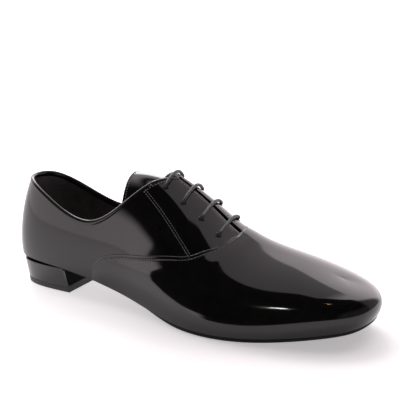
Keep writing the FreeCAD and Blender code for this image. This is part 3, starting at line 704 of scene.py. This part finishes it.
# ---- tongue ---------------------------------------------------------------------------------------
def tongue():
    """Both faces of the tongue and a rounded edge between them."""
    mesh = Mesh()
    side_line = Line(TONGUE_SIDE)
    top_line = Line(TONGUE_TOP)
    u = steps(90)
    v = steps(36)
    profile = [(1.0, 0.0), (0.6, 0.04), (0.3, 0.16), (0.1, 0.35), (0.0, 0.6), (0.1, 0.85),
               (0.3, 1.04), (0.6, 1.16), (1.0, TONGUE_THICK)]

    def edge(inset):
        side = side_line.stretch(0, len(TONGUE_SIDE) - 1, inset)
        top = top_line.stretch(0, len(TONGUE_TOP) - 1, inset)

        def closed_top(x):
            out = top(x)
            x = np.asarray(x)
            out = out + (side(1.0) - top(0.0)) * ((1 - x) ** 4)[..., None]
            out[..., 1] += (1 - top(1.0)[1]) * x ** 4
            return out
        return side, closed_top

    def grid_for(inset):
        side, top = edge(inset)
        ridge = straight((side(0.0)[0], 1.0), (top(1.0)[0], 1.0))
        return area(side, ridge, u, v, straight(side(0.0), (side(0.0)[0], 1.0)), top)

    for sign in (1, -1):
        for extra, turn in ((0.0, False), (TONGUE_THICK, True)):
            g = grid_for(1.0) * [sign, 1]
            mesh.grid(tongue_skin(g[..., 0], g[..., 1], extra), flip=(sign < 0) != turn)
        rows_side = []
        rows_top = []
        for inset, depth in profile:
            side, top = edge(inset)
            a = side(u)
            b = top(v)
            rows_side.append(tongue_skin(sign * a[:, 0], a[:, 1], depth))
            rows_top.append(tongue_skin(sign * b[:, 0], b[:, 1], depth))
        mesh.grid(np.stack(rows_side), flip=sign > 0)
        mesh.grid(np.stack(rows_top), flip=sign > 0)
    return mesh.make("tongue_skin", "tongue", "patent_leather", ["tongue"])


# ---- soles and heel -----------------------------------------------------------------------------
def feather_loop(t):
    """Feather points and their outward plan directions; t runs from -TIP to TIP."""
    p = skin(t, 0 * t)
    e = 0.02                 # half the step over which a direction is taken
    inside = np.clip(t, -TIP + e, TIP - e)
    ahead = skin(inside + e, 0 * t) - skin(inside - e, 0 * t)
    n = np.stack([ahead[:, 1], -ahead[:, 0], 0 * t], -1)
    n[np.abs(t) > TIP - e] = [1, 0, 0]
    return p, n / np.linalg.norm(n, axis=1, keepdims=True)


def sole_margin(x):
    return -SOLE_SET_BACK + (SOLE_SET_BACK + SOLE_STANDS_OUT) * eased(x, *SOLE_SWELLS)


def sole_thickness(x):
    return SOLE_HEEL + (SOLE_TREAD - SOLE_HEEL) * eased(x, *SOLE_GROWS)


def across(mesh, row, count, turn):
    """Closes a ring of points with rows from its first half to its second."""
    half = len(row) // 2
    k = steps(count)[:, None, None]
    mesh.grid(row[half:][None] * (1 - k) + row[half::-1][None] * k, flip=turn)


def outsole():
    """Edge with a fine groove round it, rounded to the tread, and both faces."""
    mesh = Mesh()
    t = np.linspace(-TIP, TIP, 561)
    p, n = feather_loop(t)
    margin = sole_margin(p[:, 0])
    thick = sole_thickness(p[:, 0])
    rows = []
    edge = [(1.5, 0.0), (0.8, 0.0), (0.35, 0.08), (0.1, 0.25), (0.0, 0.5), (0.02, 0.62), (0.14, 0.7),
            (0.14, 0.8), (0.02, 0.88), (0.0, 1.2), (0.06, 1.7)]
    for inset, down in edge:
        rows.append(p + n * (margin - inset)[:, None] - [0, 0, SOLE_TOP + down])
    for inset, up in [(0.25, 1.0), (0.6, 0.5), (1.0, 0.2), (1.6, 0.03), (2.6, 0.0)]:
        rows.append(p + n * (margin - inset)[:, None] - np.outer(SOLE_TOP + thick - up, [0, 0, 1]))
    mesh.grid(np.stack(rows), flip=True)
    across(mesh, rows[0], 24, False)
    across(mesh, rows[-1], 24, True)
    return mesh.make("outsole_body", "shoe", "sole_leather", ["outsole"], merge=0.01)


def heel_outline(z, inside, t):
    """The heel's outline at a height, taken in by inside."""
    drop = (HEEL_RIM_Z - z) / HEEL_RIM_Z
    p, n = feather_loop(t)
    taper = drop * (HEEL_TAPER[0] + HEEL_TAPER[1] * np.abs(n[:, 1]))
    q = p + n * (-HEEL_INSET - inside - taper)[:, None]
    front = HEEL_FRONT_X + HEEL_FRONT_LEAN * drop
    pull = eased(np.abs(t), *HEEL_ENDS_T)
    q[:, 0] += (front - q[[0, -1], 0].mean()) * pull
    q[:, 2] = z
    return q


def heel():
    """Glossy cover with a turned-in rim, and the rubber top piece below it."""
    t = np.linspace(-HEEL_ENDS_T[1], HEEL_ENDS_T[1], 161)
    cover = Mesh()
    profile = [(TOP_PIECE + 0.05, 0.5), (TOP_PIECE + 0.1, 0.12), (TOP_PIECE + 0.35, 0.0)]
    profile += [(z, 0.0) for z in np.linspace(TOP_PIECE + 1.5, HEEL_RIM_Z - 1.6, 12)]
    profile += [(HEEL_RIM_Z - 0.3, 0.0), (HEEL_RIM_Z - 0.08, 0.04), (HEEL_RIM_Z, 0.14),
                (HEEL_RIM_Z, HEEL_COVER), (HEEL_RIM_Z - 3, HEEL_COVER)]
    rows = np.stack([heel_outline(z, inset, t) for z, inset in profile])
    cover.grid(rows, flip=True)
    wall = rows[:-2]
    behind_breast = [4.0, 0, 0]
    for end in (0, -1):
        inner = wall[:, end] + [0.0, HEEL_COVER if end else -HEEL_COVER, 0.0]
        strip = np.stack([wall[:, end], inner, inner - behind_breast])
        cover.grid(strip, flip=end == 0)
    cover.make("heel_cover_skin", "shoe", "patent_leather", ["heel_cover"], smooth_angle=50)
    lift = Mesh()
    rows = np.stack([heel_outline(z, inset, t) for z, inset in
                     [(0.0, HEEL_COVER), (0.0, 0.5), (0.15, 0.15), (0.5, 0.0),
                      (TOP_PIECE - 0.4, 0.0), (TOP_PIECE - 0.1, 0.1), (TOP_PIECE, 0.4)]])
    lift.grid(rows, flip=True)
    across(lift, rows[0], 12, True)
    across(lift, rows[-1], 12, False)
    ends = np.stack([rows[:, 0] * (1 - k) + rows[:, -1] * k for k in steps(12)])
    lift.grid(ends, flip=False)
    lift.make("heel_lift", "shoe", "rubber", ["heel_top_piece"], merge=0.01, smooth_angle=50)


# ---- eyelets, lace ----------------------------------------------------------------------------------
def eyelet(sign, number, t, s):
    """Turned ring with a rolled flange."""
    point, normal = frame_at(np.array(sign * t), np.array(s))
    aside = np.cross(normal, [0, 0, 1.0])
    aside /= np.linalg.norm(aside)
    up = np.cross(aside, normal)
    profile = [(2.5, 0.02), (2.48, 0.2), (2.3, 0.36), (2.05, 0.42), (1.8, 0.36), (1.62, 0.2),
               (1.52, -0.1), (1.5, -2.6), (1.75, -2.6)]
    turns = np.linspace(0, 2 * math.pi, 33)[:-1]
    rows = []
    for r, h in profile:
        ring = np.outer(np.cos(turns) * r, aside) + np.outer(np.sin(turns) * r, up)
        rows.append(point + ring + normal * h)
    mesh = Mesh()
    mesh.grid(np.stack(rows), wrap=True, flip=True)
    name = f"{'lateral' if sign > 0 else 'medial'}_{number}"
    mesh.make("eyelet_ring_" + name, "shoe", "eyelet_metal", ["eyelet_" + name], merge=0)


def lace_route():
    """Corner points of the lace: four bars outside, and the runs between them inside."""
    top, second, third, bottom = EYELETS
    aside = (second[0], second[1] - 0.038)

    def run(points, sign):
        return [(sign * t, s, LACE_IN) for t, s in points]

    def bar(eyelet_at, sign):
        t, s = eyelet_at
        stops = [s + (1 - s) * k for k in (0.0, 0.16, 0.32, 0.48, 0.64, 0.82, 1.0)]
        there = [(sign * t, k, LACE_OUT) for k in stops]
        return there + [(-sign * t, k, LACE_OUT) for k in reversed(stops[:-1])]

    stops = run([(7.05, 0.69), (6.6, 0.69), (6.15, 0.70), (5.95, 0.73), top], 1) + bar(top, 1)
    stops += run([top, (6.1, 0.735), aside, (6.75, 0.74), third], -1) + bar(third, -1)
    stops += run([third, bottom], 1) + bar(bottom, 1)
    stops += run([bottom, (7.35, 0.815), (7.06, 0.82), (6.75, 0.80), second], -1) + bar(second, -1)
    stops += run([second, (6.75, 0.737), (7.05, 0.732), (7.3, 0.73)], 1)
    stops = np.array(stops)
    return skin(stops[:, 0], stops[:, 1], stops[:, 2])


def rounded(corners, radius):
    """The same route with each sharp corner turned into an arc."""
    out = [corners[0]]
    for before, at, after in zip(corners, corners[1:], corners[2:]):
        a = before - at
        b = after - at
        la = np.linalg.norm(a)
        lb = np.linalg.norm(b)
        if math.acos(np.clip(a @ b / la / lb, -1, 1)) > NEARLY_STRAIGHT:
            out.append(at)
            continue
        a = a * min(radius, la * 0.48) / la
        b = b * min(radius, lb * 0.48) / lb
        for k in steps(6):
            out.append(at + a * (1 - k) ** 2 + b * k ** 2)
    return np.array(out + [corners[-1]])


def dense(points, step):
    """Smooth line through the points, resampled evenly."""
    line = Spline(points)
    end = line.knots[-1]
    return line.at(np.linspace(0, end, int(end / step) + 1))


def tube(mesh, points, radius, sides=16):
    """Round tube whose rings don't twist on the way."""
    heading = np.gradient(points, axis=0)
    heading /= np.linalg.norm(heading, axis=1, keepdims=True)
    aside = np.cross(heading[0], [0, 0, 1.0])
    rings = []
    turns = np.linspace(0, 2 * math.pi, sides + 1)
    for p, h in zip(points, heading):
        aside = aside - h * (aside @ h)
        aside /= np.linalg.norm(aside)
        up = np.cross(h, aside)
        rings.append(p + (np.outer(np.cos(turns), aside) + np.outer(np.sin(turns), up)) * radius)
    length = run_of(points)[:, None] * MM
    uv = np.stack(np.broadcast_arrays(length, np.linspace(0, 1, sides + 1)[None]), -1)
    mesh.grid(np.stack(rings), uv=uv)
    for ring, turn in ((rings[0], True), (rings[-1], False)):
        centre = ring.mean(0)
        mesh.grid(np.stack([ring, np.repeat(centre[None], sides + 1, 0)]), flip=turn)


def lace():
    mesh = Mesh()
    tube(mesh, dense(rounded(lace_route(), LACE_EASE), 0.35), LACE_R)
    mesh.make("lace_braid", "shoe", "lace_cord", ["lace"], merge=0)


# ---- stitching --------------------------------------------------------------------------------------
def beside(line, offset):
    """The same line of (t, s), moved to its right by offset millimetres."""
    def where(u):
        u = np.asarray(u, float)
        here = line(u)
        step = (line(u + 0.002) - line(u - 0.002)) * [STATION_MM, GIRTH_MM]
        size = np.hypot(step[..., 0], step[..., 1])
        side = np.stack([step[..., 1] / STATION_MM, -step[..., 0] / GIRTH_MM], -1)
        return here + offset * side / size[..., None]
    return where


def stitch_row(mesh, place, line, sign=1, depth=0.0):
    """Short rounded threads along a line of (t, s)."""
    ts = line(np.linspace(0, 1, 500))
    path = place(sign * ts[:, 0], ts[:, 1], depth)
    out = place(sign * ts[:, 0], ts[:, 1], np.asarray(depth) - 1.0) - path
    run = run_of(path)
    turns = np.linspace(0, 2 * math.pi, 9)
    bow = [(-0.5, 0.3, -0.9), (-0.44, 0.75, -0.3), (-0.25, 1.0, 0.2), (0.0, 1.0, 0.35),
           (0.25, 1.0, 0.2), (0.44, 0.75, -0.3), (0.5, 0.3, -0.9)]
    middle = PITCH / 2
    while middle < run[-1] - PITCH / 2:
        here, ahead, up = (np.array([np.interp(at, run, data[:, i]) for i in range(3)])
                           for at, data in ((middle, path), (middle + 0.3, path), (middle, out)))
        ahead = (ahead - here) / np.linalg.norm(ahead - here)
        side = np.cross(ahead, up)
        rings = []
        for along, wide, lift in bow:
            centre = here + ahead * along * STITCH_LONG + up * lift * STITCH_R
            ring = np.outer(np.cos(turns), side) + np.outer(np.sin(turns), up)
            rings.append(centre + ring * STITCH_R * wide)
        mesh.grid(np.stack(rings))
        middle += PITCH


def tramline(mesh, place, line, sign, half, rows=(0.0,)):
    """A pressed strip along a line, with a dimpled groove under each row of stitches."""
    hidden = 0.06            # depth of the strip's border, below the skin
    raised = 0.05            # height of its middle
    offsets = np.arange(-half, half + 0.01, 0.15)
    along = np.linspace(0, 1, 420)
    length = None
    strips = []
    for offset in offsets:
        ts = beside(line, offset)(along)
        base = place(sign * ts[:, 0], ts[:, 1], 0.0)
        length = run_of(base) if length is None else length
        edge = eased(half - abs(offset), 0.0, 0.6) * eased(along, 0, 0.02) * eased(1 - along, 0, 0.02)
        depth = hidden - (hidden + raised) * edge
        for row in rows:
            depth = depth + pucker(length, offset - row, 0.14) * edge
        strips.append(place(sign * ts[:, 0], ts[:, 1], depth))
    mesh.grid(np.stack(strips), flip=sign < 0)


def stitching():
    """Threads of the seam, the facings and the tongue, and the pressed strips under them."""
    thread = Mesh()
    strips = Mesh()
    seam = Line(SEAM).stretch(0, len(SEAM) - 1, SEAM_INSET)
    rim = Line(TOPLINE).stretch(TOPLINE_CORNER, len(TOPLINE) - 1, RIM_STITCH)
    edge = straight(*EDGE_STITCH)
    below = -0.012
    corner = np.array(TOPLINE[TOPLINE_CORNER]) + [FACING_SHIFT[0], below]
    foot = np.array(SEAM[SEAM_STITCH]) + [FACING_SHIFT[1], below]
    facing = straight(corner, foot)
    for sign in (1, -1):
        stitch_row(thread, skin, seam, sign, vamp_depth(np.array(SEAM_INSET)) + 0.12)
        for row in FACING_ROWS:
            stitch_row(thread, skin, beside(facing, row), sign, 0.02)
        tramline(strips, skin, facing, sign, 2.1, FACING_ROWS)
        for line in (rim, edge):
            stitch_row(thread, skin, line, sign)
            tramline(strips, skin, line, sign, 1.2)
    thread.make("upper_stitches", "shoe", "thread", merge=0)
    strips.make("pressed_lines", "shoe", "patent_leather", merge=0)
    thread = Mesh()
    top = Line(TONGUE_TOP).stretch(0, 2, TONGUE_STITCH)
    side = Line(TONGUE_SIDE).stretch(2, 5, TONGUE_STITCH)
    for sign in (1, -1):
        stitch_row(thread, tongue_skin, top, sign)
        stitch_row(thread, tongue_skin, side, sign)
    thread.make("tongue_stitches", "tongue", "thread", merge=0)


# ---- studio -------------------------------------------------------------------------------------------
ROOM_TINT = (1.0, 0.91, 0.94, 1.0)


def world():
    """Room light by direction: walls behind and at the left, a faint one at the right, dark in front.

    Directions whose x is past the share's fade see a plain wall behind; the others, which the heel
    end mirrors, see a taller wall and a panel overhead.
    """
    w = bpy.data.worlds.new("studio")
    bpy.context.scene.world = w
    w.use_nodes = True
    n = Tree(w.node_tree)
    n.tree.nodes.clear()
    x, y, z = n.split(n.add("ShaderNodeTexCoord").outputs["Generated"])
    behind = n.math("MULTIPLY", n.fade(y, -0.30, 0.10), n.fade(z, 0.92, 0.86))
    panel = n.math("MULTIPLY", n.fade(z, 0.925, 0.94), n.fade(y, -0.36, -0.24))
    left = n.math("MULTIPLY", n.fade(x, -0.38, -0.56), n.fade(z, 0.38, 0.24))
    right = n.math("MULTIPLY", n.fade(x, 0.66, 0.80), n.fade(z, 0.62, 0.45))
    wall = n.math("MULTIPLY", n.fade(y, 0.46, 0.62), n.fade(x, 0.44, 0.28, 0.35, 2.45))
    share = n.fade(x, -0.30, -0.14)
    light = n.math("MAXIMUM", n.math("MULTIPLY", behind, 2.3), n.math("MULTIPLY", panel, 0.9))
    light = n.math("MULTIPLY_ADD", share, n.math("SUBTRACT", wall, light), light)
    for part, strength in ((left, 2.0), (right, 0.15)):
        light = n.math("MAXIMUM", light, n.math("MULTIPLY", part, strength))
    light = n.math("MAXIMUM", light, 0.012)
    background = n.add("ShaderNodeBackground")
    n.link(light, background.inputs["Strength"])
    background.inputs["Color"].default_value = ROOM_TINT
    n.link(background.outputs["Background"], n.add("ShaderNodeOutputWorld").inputs["Surface"])


def lamp(name, at, heading, distance, size, radiance, colour):
    """Rectangular lamp seen from a point of the shoe in a given direction."""
    data = bpy.data.lights.new(name, "AREA")
    data.shape = "RECTANGLE"
    data.size, data.size_y = size
    data.energy = radiance * math.pi * size[0] * size[1]
    data.color = colour
    obj = bpy.data.objects.new(name, data)
    here = Vector((np.array(at) - ORIGIN) * MM)
    obj.location = here + Vector(heading).normalized() * distance
    obj.rotation_euler = (here - obj.location).to_track_quat("-Z", "Y").to_euler()
    bpy.context.scene.collection.objects.link(obj)


def card(name, points, n):
    """One flat face that isn't part of the shoe, through points in metres."""
    mesh = bpy.data.meshes.new(name)
    mesh.from_pydata([tuple(p) for p in points], [], [tuple(range(len(points)))])
    mesh.materials.append(n.material)
    obj = bpy.data.objects.new(name, mesh)
    bpy.context.scene.collection.objects.link(obj)
    return obj


def glow(n, start, stop, low, high, tint):
    """Lets a material shine, with a strength that changes along x."""
    n.link(n.fade(n.split(n.coords)[0], start, stop, low, high), n.shader.inputs["Emission Strength"])
    n.put(Emission_Color=tint)


def flag():
    """Black board at the left front, outside the frame, that the wing of the vamp mirrors."""
    start = np.array([40.0, -104.0, 0.0])
    away = np.array([0.611, -0.792, 0.0])
    outline = [(6, 24), (20, 20), (60, 22), (120, 34), (300, 50), (300, 160), (45, 160), (24, 92),
               (11, 62), (6, 50)]
    n = Nodes("flag_felt")
    n.link(n.ramp(n.noise(300.0), grey(0.004), grey(0.008)), n.shader.inputs["Base Color"])
    n.put(Roughness=1.0, Specular_IOR_Level=0.0)
    obj = card("flag", [(start + away * u + [0, 0, z] - ORIGIN) * MM for u, z in outline], n)
    obj.visible_camera = False


def softbox():
    """Card of light over the forepart, above the frame, brighter toward the toe."""
    height = 300.0
    outline = [(60, -75), (199, -70), (240, -28), (287, -20), (345, 80), (400, 205), (60, 205)]
    n = Nodes("softbox_cloth")
    n.put(Base_Color=grey(0.0), Specular_IOR_Level=0.0)
    glow(n, 0.14, 0.19, 0.85, 2.6, ROOM_TINT)
    obj = card("softbox", [(np.array([x, y, height]) - ORIGIN) * MM for x, y in outline], n)
    obj.visible_camera = False
    obj.visible_shadow = False


def floor():
    """Pale paper that glows a little, more toward the heel."""
    reach = 40.0
    corners = [(-reach, -reach, 0), (reach, -reach, 0), (reach, reach, 0), (-reach, reach, 0)]
    n = Nodes("floor_paper")
    n.link(n.ramp(n.noise(4.0, 2.0), grey(0.90), grey(0.93)), n.shader.inputs["Base Color"])
    n.put(Roughness=0.9, Specular_IOR_Level=0.2)
    glow(n, -0.22, 0.12, 0.75, 0.42, (1.0, 0.97, 0.98, 1.0))
    card("floor", corners, n)


def studio():
    """The two small lamps give the glints on the wing of the vamp."""
    floor()
    flag()
    softbox()
    world()
    lamp("key_left_back", (149, 0, 0), (-1.2, 1.6, 1.8), 2.7, (1.4, 1.0), 6.8, (1, 1, 1))
    lamp("room_lamp", (242, -46, 26), (0.041, -0.668, 0.743), 0.95, (0.06, 0.016), 70.0,
         (1.0, 0.97, 0.95))
    lamp("warm_lamp", (271, -33, 30), (0.269, -0.128, 0.955), 0.95, (0.05, 0.012), 40.0,
         (1.0, 0.55, 0.25))


# ---- camera -------------------------------------------------------------------------------------------
def camera():
    """Looks down at the lateral side from the front quarter."""
    azimuth, elevation, roll = (math.radians(a) for a in (26.0, 14.0, 1.0))
    distance = 720.0
    focal = 970.0            # in widths of a pixel, of which the picture is 400 wide
    picture = 400.0
    target = (np.array([157.0, 0.0, 81.2]) - ORIGIN) * MM
    level = math.cos(elevation)
    back = Vector((math.sin(azimuth) * level, -math.cos(azimuth) * level, math.sin(elevation)))
    data = bpy.data.cameras.new("camera")
    data.lens = data.sensor_width * focal / picture
    data.clip_start = 0.01
    data.clip_end = 200.0
    obj = bpy.data.objects.new("camera", data)
    obj.location = Vector(target) + back * distance * MM
    turn = (-back).to_track_quat("-Z", "Y").to_matrix().to_4x4() @ Matrix.Rotation(roll, 4, "Z")
    obj.rotation_euler = turn.to_euler()
    bpy.context.scene.collection.objects.link(obj)
    bpy.context.scene.camera = obj


camera()
studio()
vamp()
quarter(1, "lateral")
quarter(-1, "medial")
binding()
tongue()
outsole()
heel()
for number, (t, s) in enumerate(EYELETS, 1):
    eyelet(1, number, t, s)
    eyelet(-1, number, t, s)
lace()
stitching()
bpy.context.scene.view_settings.view_transform = "Standard"
